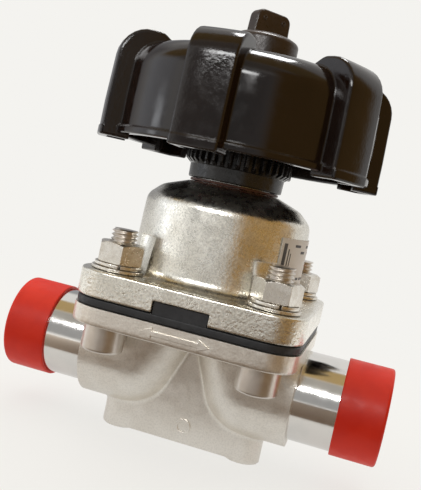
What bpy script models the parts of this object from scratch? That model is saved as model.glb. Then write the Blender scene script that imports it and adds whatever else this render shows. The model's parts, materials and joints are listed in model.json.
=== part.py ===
"""Hand-operated weir diaphragm valve: cast body with two tube spigots, bolted bonnet, rising handwheel.

All sizes are in millimetres and turned into metres by MM. The stem runs along +Z and the pipe along X.
The valve stands on its two feet, so z = 0 is their underside, below the stem.
"""

import math

import bmesh
import bpy
from mathutils import Matrix, Vector

MM = 0.001

# Body casting and pipe
PIPE_Z = 25.5  # height of the pipe's centre line over the feet
TUBE_R, BORE_R = 14.5, 13.0  # 29 x 1.5 tube
TUBE_END = 60.0  # half of the 120 mm length over the spigots
BULGE_R = 17.0  # outside of the casting round the flow passage
BULGE_X = 21.0  # where each passage turns up towards the weir
LEAN = math.radians(21.8)  # lean of the rising passage
FOOT_X, FOOT_R = 21.5, 6.0
WEB_LOW = 0.7  # the web's lower edge stays just off the table
CAST_END = 34.8

# Flanges and their M8 bolts
FLANGE = 35.2  # half of the flange's square
CORNER = 10.5
BOLT_X, BOLT_Y = 24.5, 25.0
BODY_FLANGE = (37.1, 42.7)
MEMBRANE = (42.9, 45.3)
BONNET_FLANGE = (45.5, 53.6)
HOLE_R = 4.5
THREAD_R = 3.9
HEAD_R, HEAD = 6.5, (28.8, 36.8)
FLAT_WASHER = (53.75, 54.75)
LOCK_WASHER = (54.9, 56.0)
NUT = (56.15, 62.35)
NUT_FLATS = 13.0
SCREW_TOP = 66.5

# Bonnet and neck
DOME_R = 27.2
SHELF_Z = 85.5
NECK_R, NECK_TOP = 12.0, 93.4
COLLAR_R, TEETH_R, TEETH = 15.4, 17.4, 40
COLLAR = (86.7, 96.2)
TEETH_Z = 91.0

# Drive
SPINDLE_R, THREAD_SPINDLE_R = 5.0, 6.0
PINS_X = 4.3
GUIDES_Y = 13.0
NECK_SEAL_Z = 90.0

# Handwheel
RIM_R, VALLEY_R, WALL = 46.7, 41.0, 3.0
LOBES = 6
FIRST_LOBE = math.radians(-5)  # angle of the front lobe from -Y towards +X
LOBE_W = 14.6
WHEEL_BOTTOM, LIP_BOTTOM = 93.3, 94.8
CEILING, WHEEL_TOP, LOBE_TOP = 121.4, 124.6, 127.4
BOSS_TOP = 128.2
TAPER = 0.6  # how much the rim leans in towards its top
CROWN = 9.0  # rounding between the rim and the top
HUB_R, HUB = 9.6, (102.8, 115.8)
KNOB_BASE, KNOB_TOP = 135.4, 143.2
KNOB_TURN = math.radians(44)  # direction the wing's broad face looks, from -Y towards +X
PAWL_TURN = math.radians(205)  # direction of the lock pawl, between two lobes
CAM, SLOT_R, LOCK_TRAVEL = (119.4, 121.2), 5.6, 3.0
CLIP_R, CLIP_Y = 18.0, 5.4  # where the guide clip's two screws sit

LABEL = (52, 108)  # degrees from -Y towards +X

for old in list(bpy.data.objects):
    bpy.data.objects.remove(old)

PARTS = bpy.data.collections.new("DiaphragmValve")
TOOLS = bpy.data.collections.new("Cutters")
for made in (PARTS, TOOLS):
    bpy.context.scene.collection.children.link(made)
TOOLS.hide_render = True


def material(name, colour, roughness, metallic=0.0):
    made = bpy.data.materials.new(name)
    made.use_nodes = True
    shader = made.node_tree.nodes["Principled BSDF"]
    shader.inputs["Base Color"].default_value = (*colour, 1.0)
    shader.inputs["Roughness"].default_value = roughness
    shader.inputs["Metallic"].default_value = metallic
    return made


def place(name, mesh, mat=None, at=(0, 0, 0), turn=(0, 0, 0)):
    """A new object: a part where it has a material, otherwise a cutter or other tool."""
    obj = bpy.data.objects.new(name, mesh)
    obj.location = [c * MM for c in at]
    obj.rotation_euler = turn
    if mat:
        PARTS.objects.link(obj)
        mesh.materials.append(mat)
    else:
        TOOLS.objects.link(obj)
        obj.hide_render = True
        obj.display_type = "WIRE"
    return obj


def finish(bm, name):
    mesh = bpy.data.meshes.new(name)
    bm.to_mesh(mesh)
    bm.free()
    return mesh


def smooth(obj, angle=35):
    obj.data.shade_smooth()
    obj.data.set_sharp_from_angle(angle=math.radians(angle))
    return obj


def turned(name, profile, mat=None, at=(0, 0, 0), turn=(0, 0, 0), steps=36, ring=False):
    """A profile of (radius, height), outer side from the top down, turned round the object's own Z."""
    bm = bmesh.new()
    verts = [bm.verts.new((r * MM, 0, z * MM)) for r, z in profile]
    for a, b in zip(verts, verts[1:]):
        bm.edges.new((a, b))
    if ring:
        bm.edges.new((verts[-1], verts[0]))
    obj = place(name, finish(bm, name), mat, at, turn)
    screw = obj.modifiers.new("Turn", "SCREW")
    screw.steps = screw.render_steps = steps
    screw.use_merge_vertices = True
    screw.merge_threshold = 0.00001
    screw.use_smooth_shade = True
    return obj


def tube(r_out, r_in, z0, z1, edge=0.0):
    """Profile of a plain ring, with its outer edges broken by edge."""
    if not edge:
        return [(r_out, z1), (r_out, z0), (r_in, z0), (r_in, z1)]
    return [(r_out - edge, z1), (r_out, z1 - edge), (r_out, z0 + edge), (r_out - edge, z0), (r_in, z0), (r_in, z1)]


def rod(r, z0, z1, edge=0.0):
    """Profile of a plain round bar that ends on the axis."""
    if not edge:
        return [(0, z1), (r, z1), (r, z0), (0, z0)]
    return [(0, z1), (r - edge, z1), (r, z1 - edge), (r, z0 + edge), (r - edge, z0), (0, z0)]


def prism(name, outline, low, high, mat=None, plane="XY", at=(0, 0, 0), turn=(0, 0, 0), bevel=0.0):
    """An outline extruded from low to high across its plane (XY along Z, XZ along Y)."""
    bm = bmesh.new()
    spot = {"XY": lambda u, v, w: (u, v, w), "XZ": lambda u, v, w: (u, w, v)}[plane]
    base = [bm.verts.new(Vector(spot(u, v, low)) * MM) for u, v in outline]
    made = bmesh.ops.extrude_face_region(bm, geom=[bm.faces.new(base)])
    tops = [v for v in made["geom"] if isinstance(v, bmesh.types.BMVert)]
    bmesh.ops.translate(bm, verts=tops, vec=(Vector(spot(0, 0, high)) - Vector(spot(0, 0, low))) * MM)
    bmesh.ops.recalc_face_normals(bm, faces=bm.faces)
    obj = place(name, finish(bm, name), mat, at, turn)
    if bevel:
        edge = obj.modifiers.new("Edge", "BEVEL")
        edge.width = bevel * MM
        edge.segments = 1
        edge.limit_method = "ANGLE"
        edge.angle_limit = math.radians(50)
    return smooth(obj)


def box(name, x, y, z, mat=None, turn=(0, 0, 0), bevel=0.0):
    outline = [(x[0], y[0]), (x[1], y[0]), (x[1], y[1]), (x[0], y[1])]
    return prism(name, outline, *z, mat=mat, turn=turn, bevel=bevel)


def arc(cx, cy, r, start, end, count):
    """Points on an arc, angles in degrees."""
    steps = [math.radians(start + (end - start) * i / count) for i in range(count + 1)]
    return [(cx + r * math.cos(t), cy + r * math.sin(t)) for t in steps]


def rounded(half_x, half_y, r, count=6):
    """A rounded rectangle about the stem, counter-clockwise."""
    x, y = half_x - r, half_y - r
    return (
        arc(x, y, r, 0, 90, count)
        + arc(-x, y, r, 90, 180, count)
        + arc(-x, -y, r, 180, 270, count)
        + arc(x, -y, r, 270, 360, count)
    )


def combine(obj, operation, *tools):
    for tool in tools:
        step = obj.modifiers.new(f"{operation} {tool.name}"[:60], "BOOLEAN")
        step.operation = operation
        step.solver = "EXACT"
        step.object = tool
    return obj


def cut(obj, *tools):
    return combine(obj, "DIFFERENCE", *tools)


def join(obj, *tools):
    return combine(obj, "UNION", *tools)


def cylinder(name, r, z0, z1, at=(0, 0, 0), turn=(0, 0, 0), steps=16):
    return turned(name, rod(r, z0, z1), at=at, turn=turn, steps=steps)


def heading(angle, r, z=0.0):
    """A point at this distance from the stem, at an angle from -Y towards +X."""
    return (r * math.sin(angle), -r * math.cos(angle), z)


ALONG_X = (0, math.pi / 2, 0)
ALONG_Y = (-math.pi / 2, 0, 0)

CAST = material("CastSteel", (0.62, 0.58, 0.52), 0.5, 0.75)
POLISHED = material("PolishedTube", (0.8, 0.79, 0.77), 0.12, 1.0)
BRIGHT = material("BrightBonnet", (0.72, 0.68, 0.62), 0.22, 1.0)
BOLT = material("StainlessBolt", (0.66, 0.62, 0.55), 0.25, 1.0)
MEMBRANE_RUBBER = material("MembraneRubber", (0.02, 0.022, 0.026), 0.55)
BLACK = material("BlackPlastic", (0.014, 0.012, 0.011), 0.3)
WHEEL = material("WheelPlastic", (0.022, 0.013, 0.010), 0.28)
RED = material("RedCap", (0.8, 0.03, 0.02), 0.42)
RUST = material("RedBrownRing", (0.16, 0.05, 0.03), 0.5)
BRASS = material("BrassBush", (0.7, 0.5, 0.2), 0.3, 1.0)
STEEL = material("TurnedSteel", (0.6, 0.6, 0.6), 0.3, 1.0)
SEAL = material("SealRubber", (0.02, 0.02, 0.02), 0.6)
PAPER = material("LabelWhite", (0.85, 0.84, 0.8), 0.45)


# ---------------------------------------------------------------- body casting
def elbow(name, side, r, end_x, top):
    """Convex outside of one half's passage: level from end_x, round the turn, then leaning up to top."""
    centre = Vector((side * BULGE_X, 0, PIPE_Z))
    rise = (top - PIPE_Z) * math.tan(LEAN)
    bm = bmesh.new()
    ring = arc(0, 0, r, 0, 340, 17)
    points = [Vector((side * end_x, u, PIPE_Z + v)) for u, v in ring]
    lean = Matrix.Rotation(-side * LEAN, 3, "Y")
    head = Vector((centre.x - side * rise, 0, top))
    points += [lean @ Vector((u, v, r * math.sin(LEAN))) + head for u, v in ring]
    for tilt in range(-70, 60, 20):
        level = r * math.cos(math.radians(tilt))
        height = r * math.sin(math.radians(tilt))
        points += [centre + lean @ Vector((u, v, height)) for u, v in arc(0, 0, level, 0, 340, 17)]
    points.append(centre + lean @ Vector((0, 0, -r)))
    for p in points:
        bm.verts.new(Vector((p.x, p.y, min(p.z, top))) * MM)
    made = bmesh.ops.convex_hull(bm, input=bm.verts)
    loose = [v for v in bm.verts if not v.link_faces]
    bmesh.ops.delete(bm, geom=loose, context="VERTS")
    bmesh.ops.recalc_face_normals(bm, faces=bm.faces)
    return place(name, finish(bm, name))


body = prism("valve_body", rounded(FLANGE, FLANGE, CORNER), *BODY_FLANGE, mat=CAST, bevel=0.7)
web = box("web", (-FOOT_X, FOOT_X), (-FOOT_R, FOOT_R), (WEB_LOW, BODY_FLANGE[0] + 1))
saddle = box("weir_saddle", (-6, 6), (-15.5, 15.5), (33.5, BODY_FLANGE[0] + 1))
join(body, web, saddle)
for side, word in ((-1, "left"), (1, "right")):
    join(body, cylinder(f"foot_{word}", FOOT_R, 0, 18, at=(side * FOOT_X, 0, 0)))
    join(body, elbow(f"bulge_{word}", side, BULGE_R, CAST_END, BODY_FLANGE[1] - 0.6))
# flow arrow on the front edge of the flange
arrow_z = sum(BODY_FLANGE) / 2
arrow = [(-10.5, 0), (-7, 1.7), (-7, 0.7), (7, 0.7), (7, 1.7)]
arrow += [(-x, -z) for x, z in arrow]
join(body, prism("flow_arrow", arrow, -FLANGE - 0.5, -FLANGE + 1, plane="XZ", at=(0, 0, arrow_z)))
# round foundry mark on the web
mark = turned(
    "foundry_mark",
    tube(2.6, 1.7, 0, 1.4),
    at=(1.5, -FOOT_R + 1, 6.5),
    turn=(math.pi / 2, 0, 0),
    steps=20,
    ring=True,
)
join(body, mark)
for side, word in ((-1, "left"), (1, "right")):
    cut(body, elbow(f"passage_{word}", side, BORE_R, 31.0, BODY_FLANGE[1] + 1))
    along = (0, side * math.pi / 2, 0)
    cut(body, cylinder(f"socket_{word}", TUBE_R + 0.3, 29.5, 40, at=(0, 0, PIPE_Z), turn=along, steps=28))
    cut(body, cylinder(f"foot_thread_{word}", 2.5, -1, 9, at=(side * FOOT_X, 0, 0), steps=20))
# shallow bowl over the weir, a cap of a large sphere
bowl_r, weir_top = 42.1, 36.5
bowl = [(0, 70.0), (bowl_r, 70.0)] + [
    (bowl_r * math.cos(math.radians(a)), weir_top + bowl_r + bowl_r * math.sin(math.radians(a)))
    for a in (-25, -45, -58, -66, -74, -82)
] + [(0, weir_top)]
cut(body, turned("bowl", bowl, steps=28))

for side, word in ((-1, "left"), (1, "right")):
    turned(
        f"spigot_{word}",
        tube(TUBE_R, BORE_R, 29.8, TUBE_END),
        POLISHED,
        at=(0, 0, PIPE_Z),
        turn=(0, side * math.pi / 2, 0),
        steps=28,
        ring=True,
    )
    turned(
        f"cap_{word}",
        [(0, 62.9), (14.6, 62.9), (15.5, 62.0), (15.5, 48.5), (14.7, 48.5), (14.7, 62.1), (0, 62.1)],
        RED,
        at=(0, 0, PIPE_Z),
        turn=(0, side * math.pi / 2, 0),
        steps=28,
    )

# ---------------------------------------------------------------- diaphragm and compressor
membrane = prism("diaphragm", rounded(FLANGE - 0.4, FLANGE - 0.4, CORNER - 0.4), *MEMBRANE, mat=MEMBRANE_RUBBER)
join(membrane, turned("membrane_boss", rod(6.5, 44.0, 46.0), steps=16))
for y in (-1, 1):
    front = sorted((y * 32.0, y * 34.4))
    join(membrane, box(f"tab_{y}", (-8.2, 8.2), front, (44.0, 48.8)))
cut(membrane, cylinder("stud_hole", 3.3, 43.7, 50))

turned("diaphragm_stud", rod(3.0, 44.0, 56.0, 0.4), STEEL, steps=16)

compressor = turned(
    "compressor",
    [
        (0, 62.4), (8.5, 62.4), (8.5, 53.0), (18.0, 52.0),
        (18.0, 49.8), (14.0, 48.2), (9.0, 46.9), (7.2, 46.4), (0, 46.4),
    ],
    STEEL,
    steps=28,
)
cut(
    compressor,
    cylinder("stud_bore", 3.3, 45, 56.5),
    cylinder("boss_clearance", 6.8, 45, 46.5),
    cylinder("spindle_bore", SPINDLE_R + 0.3, 57.5, 64),
)
for x in (-1, 1):
    cut(
        compressor,
        cylinder(f"pin_hole_{x}", 1.35, -12, 12, at=(x * PINS_X, 0, 60.2), turn=ALONG_Y, steps=16),
        cylinder(f"guide_hole_{x}", 1.9, 45, 55, at=(0, x * GUIDES_Y, 0), steps=16),
    )
    word = "a" if x < 0 else "b"
    pin = rod(1.2, -6.8, 6.8, 0.2)
    turned(f"compressor_pin_{word}", pin, STEEL, at=(x * PINS_X, 0, 60.2), turn=ALONG_Y, steps=16)
    turned(f"guide_pin_{word}", rod(1.5, 46.6, 84.0, 0.2), STEEL, at=(0, x * GUIDES_Y, 0), steps=16)

# ---------------------------------------------------------------- bonnet
bonnet = prism("bonnet", rounded(FLANGE, FLANGE, CORNER), *BONNET_FLANGE, mat=BRIGHT, bevel=0.6)
dome = (
    [(0, NECK_TOP), (NECK_R, NECK_TOP), (NECK_R, SHELF_Z), (15.0, SHELF_Z), (22.6, 82.4)]
    + [(DOME_R - 6.5 + 6.5 * math.cos(a), 76.2 + 6.5 * math.sin(a)) for a in map(math.radians, (66, 48, 30, 12))]
    + [(DOME_R, 74.5), (DOME_R, 57.6)]
    + [(DOME_R + 4 - 4 * math.cos(a), 57.6 - 4 * math.sin(a)) for a in map(math.radians, (25, 50, 75))]
    + [(DOME_R + 4.5, 53.4), (DOME_R + 4.5, 50.0), (0, 50.0)]
)
hollow = [(0, 82.4), (12.5, 82.4), (19.0, 79.6), (23.0, 75.0), (23.0, 44.0), (0, 44.0)]
join(bonnet, turned("dome", dome, steps=44))
cut(bonnet, turned("hollow", hollow, steps=36), cylinder("neck_bore", 9.4, 80, 96, steps=28))
for y in (-1, 1):
    cut(bonnet, box(f"tab_slot_{y}", (-8.5, 8.5), sorted((y * 31.7, y * 36)), (44, 49.2)))
    cut(bonnet, cylinder(f"guide_seat_{y}", 1.65, 70, 84.3, at=(0, y * GUIDES_Y, 0), steps=16))

# ---------------------------------------------------------------- the four M8 screws
corners = {"fl": (-1, -1), "fr": (1, -1), "bl": (-1, 1), "br": (1, 1)}
hexagon = arc(0, 0, NUT_FLATS / math.sqrt(3), 0, 300, 5)
socket = arc(0, 0, 6.0 / math.sqrt(3), 30, 330, 5)
for word, (sx, sy) in corners.items():
    spot = (sx * BOLT_X, sy * BOLT_Y, 0)
    for flange in (body, membrane, bonnet):
        cut(flange, cylinder(f"{flange.name}_hole_{word}", HOLE_R, 35, 60, at=spot, steps=16))
    # spot faces clear the washers where the dome's flare runs out
    cut(bonnet, cylinder(f"spot_face_{word}", 8.4, BONNET_FLANGE[1] - 0.1, 64, at=spot, steps=20))
    cut(body, cylinder(f"head_clearance_{word}", 7.0, 20, BODY_FLANGE[0] + 0.1, at=spot, steps=20))
    head = [(0, SCREW_TOP), (THREAD_R - 0.6, SCREW_TOP), (THREAD_R, SCREW_TOP - 0.6), (THREAD_R, HEAD[1])]
    head += [(HEAD_R, HEAD[1]), (HEAD_R, HEAD[0] + 0.5), (HEAD_R - 0.5, HEAD[0]), (0, HEAD[0])]
    screw = turned(f"cap_screw_{word}", head, BOLT, at=spot, steps=20)
    cut(screw, prism(f"socket_{word}", socket, HEAD[0] - 1, HEAD[0] + 4, at=spot))
    turned(f"flat_washer_{word}", tube(8.0, 4.25, *FLAT_WASHER), BOLT, at=spot, steps=20, ring=True)
    lock = turned(f"lock_washer_{word}", tube(7.3, 4.25, *LOCK_WASHER), BOLT, at=spot, steps=20, ring=True)
    cut(lock, box(f"split_{word}", (spot[0] + 2, spot[0] + 10), (spot[1] - 0.5, spot[1] + 0.5), (54, 57)))
    turn = math.radians(sx * 8)
    nut = prism(f"nut_{word}", hexagon, *NUT, mat=BOLT, at=spot, turn=(0, 0, turn))
    cut(nut, cylinder(f"nut_thread_{word}", 4.1, NUT[0] - 1, NUT[1] + 1, at=spot))
    rim = turned(
        f"nut_chamfer_{word}",
        [(12, NUT[1] + 1), (12, NUT[1] - 3.2), (6.2, NUT[1] + 0.1), (6.2, NUT[1] + 1)],
        at=spot,
        steps=20,
        ring=True,
    )
    cut(nut, rim)

# ---------------------------------------------------------------- neck
turned("neck_ring", tube(14.6, NECK_R + 0.3, SHELF_Z + 0.2, COLLAR[0] - 0.2), RUST, steps=28, ring=True)

pitch = 360 / TEETH
star = []
for i in range(TEETH):
    for part, r in ((-0.30, 15.9), (-0.16, TEETH_R), (0.16, TEETH_R), (0.30, 15.9)):
        a = math.radians((i + 0.5 + part) * pitch) + PAWL_TURN - math.pi / 2
        star.append((r * math.cos(a), r * math.sin(a)))
collar = prism("neck_collar", star, TEETH_Z, COLLAR[1], mat=BLACK)
join(collar, turned("collar_skirt", rod(COLLAR_R, COLLAR[0], COLLAR[1] - 0.5), steps=36))
# chamfer on the lower ends of the teeth
chamfer = [(20, TEETH_Z + 1.6), (20, TEETH_Z - 1), (COLLAR_R + 0.3, TEETH_Z - 1)]
chamfer += [(COLLAR_R + 0.3, TEETH_Z), (TEETH_R, TEETH_Z + 1.6)]
cut(
    collar,
    turned("tooth_chamfer", chamfer, steps=36, ring=True),
    cylinder("collar_bore", NECK_R + 0.3, 86, NECK_TOP + 0.3, steps=28),
    cylinder("collar_top_bore", 7.4, 92, 98, steps=20),
)

bush = turned(
    "spindle_bush",
    [(9.1, 94.4), (9.1, 82.2), (11.2, 82.2), (11.2, 79.2), (6.3, 79.2), (6.3, 94.4)],
    BRASS,
    steps=28,
    ring=True,
)
cut(bush, turned("seal_groove", tube(9.6, 7.7, NECK_SEAL_Z - 1.2, NECK_SEAL_Z + 1.2), steps=28, ring=True))
cut(collar, cylinder("bush_top_clearance", 9.5, 93, 94.7, steps=28))
turns = [math.tau * i / 10 for i in range(8)]
circle = [(8.55 + 0.75 * math.cos(a), NECK_SEAL_Z - 0.75 * math.sin(a)) for a in turns]
turned("bush_seal", circle, SEAL, steps=28, ring=True)

# ---------------------------------------------------------------- spindle, which turns with the handwheel
turned(
    "spindle",
    [
        (0, 114.9), (SPINDLE_R - 0.5, 114.9), (SPINDLE_R, 114.4), (SPINDLE_R, 101.5),
        (THREAD_SPINDLE_R, 100.7), (THREAD_SPINDLE_R, 71.0), (SPINDLE_R, 70.0), (SPINDLE_R, 61.9),
        (2.9, 61.7), (2.9, 58.8), (SPINDLE_R, 58.6), (SPINDLE_R, 58.1), (SPINDLE_R - 0.4, 57.8), (0, 57.8),
    ],
    STEEL,
    steps=20,
)

# ---------------------------------------------------------------- handwheel
def crown(r, top, count=5):
    """Points of the rounded edge, from the top surface down to the rim."""
    turns = [math.pi / 2 * i / count for i in range(count + 1)]
    return [(r - CROWN + CROWN * math.sin(a), top - CROWN + CROWN * math.cos(a)) for a in turns]


wheel = turned(
    "handwheel",
    [(0, BOSS_TOP), (12.0, BOSS_TOP), (13.5, WHEEL_TOP)]
    + crown(VALLEY_R - TAPER, WHEEL_TOP)
    + [(VALLEY_R, 105), (VALLEY_R, LIP_BOTTOM + 2.6), (VALLEY_R + 0.9, LIP_BOTTOM + 2.3)]
    + [(VALLEY_R + 0.9, LIP_BOTTOM), (0, LIP_BOTTOM)],
    WHEEL,
    steps=48,
)
lobe_out = (
    [(28.0, 116.0), (28.0, WHEEL_TOP - 0.6), (34.0, LOBE_TOP)]
    + crown(RIM_R - 1.2, LOBE_TOP)
    + [(RIM_R - 0.5, 112), (RIM_R, 104), (RIM_R, WHEEL_BOTTOM), (36.0, WHEEL_BOTTOM), (36.0, 116.0)]
)
lobe_in = [(34.0, 116.0), (37.0, 118.0), (41.8, 113.5), (43.6, 104)]
lobe_in += [(43.6, WHEEL_BOTTOM - 1), (34.0, WHEEL_BOTTOM - 1)]
spins = [FIRST_LOBE + math.tau * i / LOBES - math.pi / 2 for i in range(LOBES)]
for i, spin in enumerate(spins):
    block = prism(f"lobe_{i}", lobe_out, -LOBE_W / 2, LOBE_W / 2, plane="XZ", turn=(0, 0, spin), bevel=1.0)
    join(wheel, block)
cup = [(0, CEILING), (30.0, CEILING), (35.6, CEILING - 5), (VALLEY_R - WALL, 108)]
cup += [(VALLEY_R - WALL, WHEEL_BOTTOM - 1), (0, WHEEL_BOTTOM - 1)]
cut(wheel, turned("cup", cup, steps=48))
pocket = LOBE_W / 2 - 2.6
for i, spin in enumerate(spins):
    cut(wheel, prism(f"lobe_hollow_{i}", lobe_in, -pocket, pocket, plane="XZ", turn=(0, 0, spin)))
hub = turned("hub", rod(HUB_R, *HUB), steps=20)
rib = [(HUB_R - 1.5, HUB[0] + 2), (38.6, 106), (38.6, 119), (34, 122)]
rib += [(13.5, 122), (13.5, HUB[1]), (HUB_R - 1.5, HUB[1])]
for i, spin in enumerate(spins):
    join(hub, prism(f"rib_{i}", rib, -1.1, 1.1, plane="XZ", turn=(0, 0, spin)))
join(wheel, hub)
cut(
    wheel,
    cylinder("hub_bore", 7.9, HUB[0] - 1, HUB[1] + 1, steps=20),
    cylinder("knob_bore", 4.9, 120, BOSS_TOP + 2, steps=20),
)

turned("hub_insert", tube(7.6, SPINDLE_R + 0.2, 103.2, 114.6, 0.4), BRASS, steps=20, ring=True)
turned("hub_washer", tube(7.0, 2.8, 115.2, 116.0), STEEL, steps=20, ring=True)
hub_screw = turned("hub_screw", rod(4.3, 116.2, 117.4, 0.3), STEEL, steps=16)
cut(hub_screw, prism("hub_screw_socket", arc(0, 0, 1.8, 0, 300, 5), 116.8, 118))

# ---------------------------------------------------------------- lock: knob, cam and pawl
knob = turned(
    "lock_knob",
    [
        (0, KNOB_BASE), (8.6, KNOB_BASE), (10.2, KNOB_BASE - 0.8), (10.8, KNOB_BASE - 2.4),
        (10.8, BOSS_TOP + 0.3), (4.6, BOSS_TOP + 0.3), (4.6, CEILING - 0.2), (0, CEILING - 0.2),
    ],
    BLACK,
    steps=28,
)
wing = (
    [(-6.6, KNOB_BASE - 0.8), (-6.4, KNOB_TOP - 4.2)]
    + arc(-3.5, KNOB_TOP - 2.6, 2.6, 165, 90, 3)
    + arc(3.5, KNOB_TOP - 2.6, 2.6, 90, 15, 3)
    + [(6.4, KNOB_TOP - 4.2), (6.6, KNOB_BASE - 0.8)]
)
join(knob, prism("wing", wing, -2.5, 2.5, plane="XZ", turn=(0, 0, KNOB_TURN), bevel=0.5))

cam = turned("lock_cam", rod(8.6, *CAM), STEEL, steps=28)
for i in range(7):
    share = i / 6
    spot = heading(PAWL_TURN - share * math.pi / 2, SLOT_R - LOCK_TRAVEL * share)
    cut(cam, cylinder(f"cam_slot_{i}", 1.5, CAM[0] - 1, CAM[1] + 1, at=spot, steps=16))

pawl_spin = PAWL_TURN - math.pi / 2
pawl_side = [(4.0, 117.7), (4.0, 119.1), (28.0, 119.1), (28.0, 93.2)]
pawl_side += [(19.2, 93.2), (19.2, 98.2), (25.4, 98.2), (25.4, 117.7)]
pawl = prism("lock_pawl", pawl_side, -3.0, 3.0, mat=STEEL, plane="XZ", turn=(0, 0, pawl_spin))
join(pawl, cylinder("pawl_pin", 1.15, 118.4, 120.8, at=heading(PAWL_TURN, SLOT_R), steps=16))
for side in (-1, 1):
    flank = [(18.0, side * 0.25), (22.6, side * 0.9), (22.6, side * 4.0), (18.0, side * 4.0)]
    cut(pawl, prism(f"pawl_point_{side}", flank, 92.0, 99.0, turn=(0, 0, pawl_spin)))

clip = box("guide_clip", (15.5, 20.5), (-7.5, 7.5), (116.1, 117.3), mat=STEEL, turn=(0, 0, pawl_spin))
for side, word in ((-1, "a"), (1, "b")):
    spot = Matrix.Rotation(pawl_spin, 3, "Z") @ Vector((CLIP_R, side * CLIP_Y, 0))
    post = cylinder(f"clip_post_{word}", 2.0, 117.5, 122.0, at=spot, steps=20)
    join(wheel, post)
    cut(wheel, cylinder(f"post_thread_{word}", 1.1, 117, 121.5, at=spot, steps=16))
    cut(clip, cylinder(f"clip_hole_{word}", 1.2, 115, 118.4, at=spot, steps=16))
    screw = [(0, 121.2), (0.9, 121.2), (0.9, 115.9), (1.9, 115.9), (1.9, 114.7), (0, 114.7)]
    turned(f"guide_screw_{word}", screw, STEEL, at=spot, steps=16)

# ---------------------------------------------------------------- label round the side of the bonnet
face = arc(0, 0, DOME_R + 0.45, LABEL[0] - 90, LABEL[1] - 90, 14)
back = arc(0, 0, DOME_R + 0.2, LABEL[1] - 90, LABEL[0] - 90, 14)
prism("label_plate", face + back, 59.5, 74.3, mat=PAPER)

# ---------------------------------------------------------------- assemblies that move, each under an empty on its joint
stem = {"stem_lift": ["compressor", "diaphragm_stud", "compressor_pin_a", "compressor_pin_b"]}
stem["handwheel_turn"] = ["handwheel", "spindle", "hub_insert", "hub_washer", "hub_screw"]
stem["handwheel_turn"] += ["guide_clip", "guide_screw_a", "guide_screw_b"]
stem["lock_turn"] = ["lock_knob", "lock_cam"]
stem["pawl_slide"] = ["lock_pawl"]
parent = None
for name, members in stem.items():
    empty = bpy.data.objects.new(name, None)
    PARTS.objects.link(empty)
    empty.parent = parent
    for member in members:
        bpy.data.objects[member].parent = empty
    if name in ("stem_lift", "handwheel_turn"):
        parent = empty
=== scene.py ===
"""Looks of a hand-operated diaphragm valve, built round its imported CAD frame.

Lengths here are millimetres, turned into metres where a mesh is made. +Z is up the stem, X is
along the pipe, and -Y is the front.
"""
import json
import math

import bmesh
import bpy
from mathutils import Matrix, Vector


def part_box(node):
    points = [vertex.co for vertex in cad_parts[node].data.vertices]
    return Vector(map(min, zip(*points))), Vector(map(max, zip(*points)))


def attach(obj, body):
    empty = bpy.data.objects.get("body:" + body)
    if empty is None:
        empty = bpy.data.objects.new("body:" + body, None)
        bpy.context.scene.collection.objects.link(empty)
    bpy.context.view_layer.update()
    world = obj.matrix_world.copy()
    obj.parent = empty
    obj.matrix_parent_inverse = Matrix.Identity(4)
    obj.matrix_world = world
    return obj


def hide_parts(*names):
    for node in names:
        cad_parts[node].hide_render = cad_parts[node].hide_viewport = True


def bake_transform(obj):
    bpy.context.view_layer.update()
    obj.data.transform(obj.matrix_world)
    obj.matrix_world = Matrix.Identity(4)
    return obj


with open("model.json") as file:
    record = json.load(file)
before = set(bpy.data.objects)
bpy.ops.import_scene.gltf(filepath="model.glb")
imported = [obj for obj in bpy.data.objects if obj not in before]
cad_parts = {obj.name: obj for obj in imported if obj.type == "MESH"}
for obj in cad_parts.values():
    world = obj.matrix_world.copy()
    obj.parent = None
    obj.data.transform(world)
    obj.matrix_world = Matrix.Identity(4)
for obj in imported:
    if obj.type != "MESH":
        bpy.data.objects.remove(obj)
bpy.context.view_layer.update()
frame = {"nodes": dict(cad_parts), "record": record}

MM = 0.001
SCENE = bpy.context.scene
SIDES = {"left": -1, "right": 1}
CORNERS = ("fl", "fr", "bl", "br")


def span(node):
    """Lowest and highest corner of a CAD node, in millimetres."""
    low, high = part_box(node)
    return low / MM, high / MM


def spot_of(corner):
    """Where a corner's bolt stands."""
    low, high = span(f"cap_screw_{corner}")
    return ((low.x + high.x) / 2, (low.y + high.y) / 2, 0)


# ---------------------------------------------------------------- sizes, from the frame if it has them
SPIGOT_LOW, SPIGOT_HIGH = span("spigot_right")
PIPE_Z = (SPIGOT_LOW.z + SPIGOT_HIGH.z) / 2
TUBE_R = (SPIGOT_HIGH.z - SPIGOT_LOW.z) / 2
TUBE_WALL = 1.5
BODY_TOP = span("valve_body")[1].z
FLANGE = span("bonnet")[1].x
FLANGE_CORNER = 10.5
BODY_FLANGE_LOW = BODY_TOP - 5.6
BONNET_LOW = span("bonnet")[0].z
BONNET_FLANGE_TOP = BONNET_LOW + 8.1
WHEEL_LOW = span("handwheel")[0].z
RIM_R = span("handwheel")[1].y - 0.37  # the CAD lobes' corners stand that far beyond the rim
WHEEL_HIGH = span("handwheel")[1].z
FIRST_LOBE = math.radians(-5)
LOBES = 6


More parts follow.
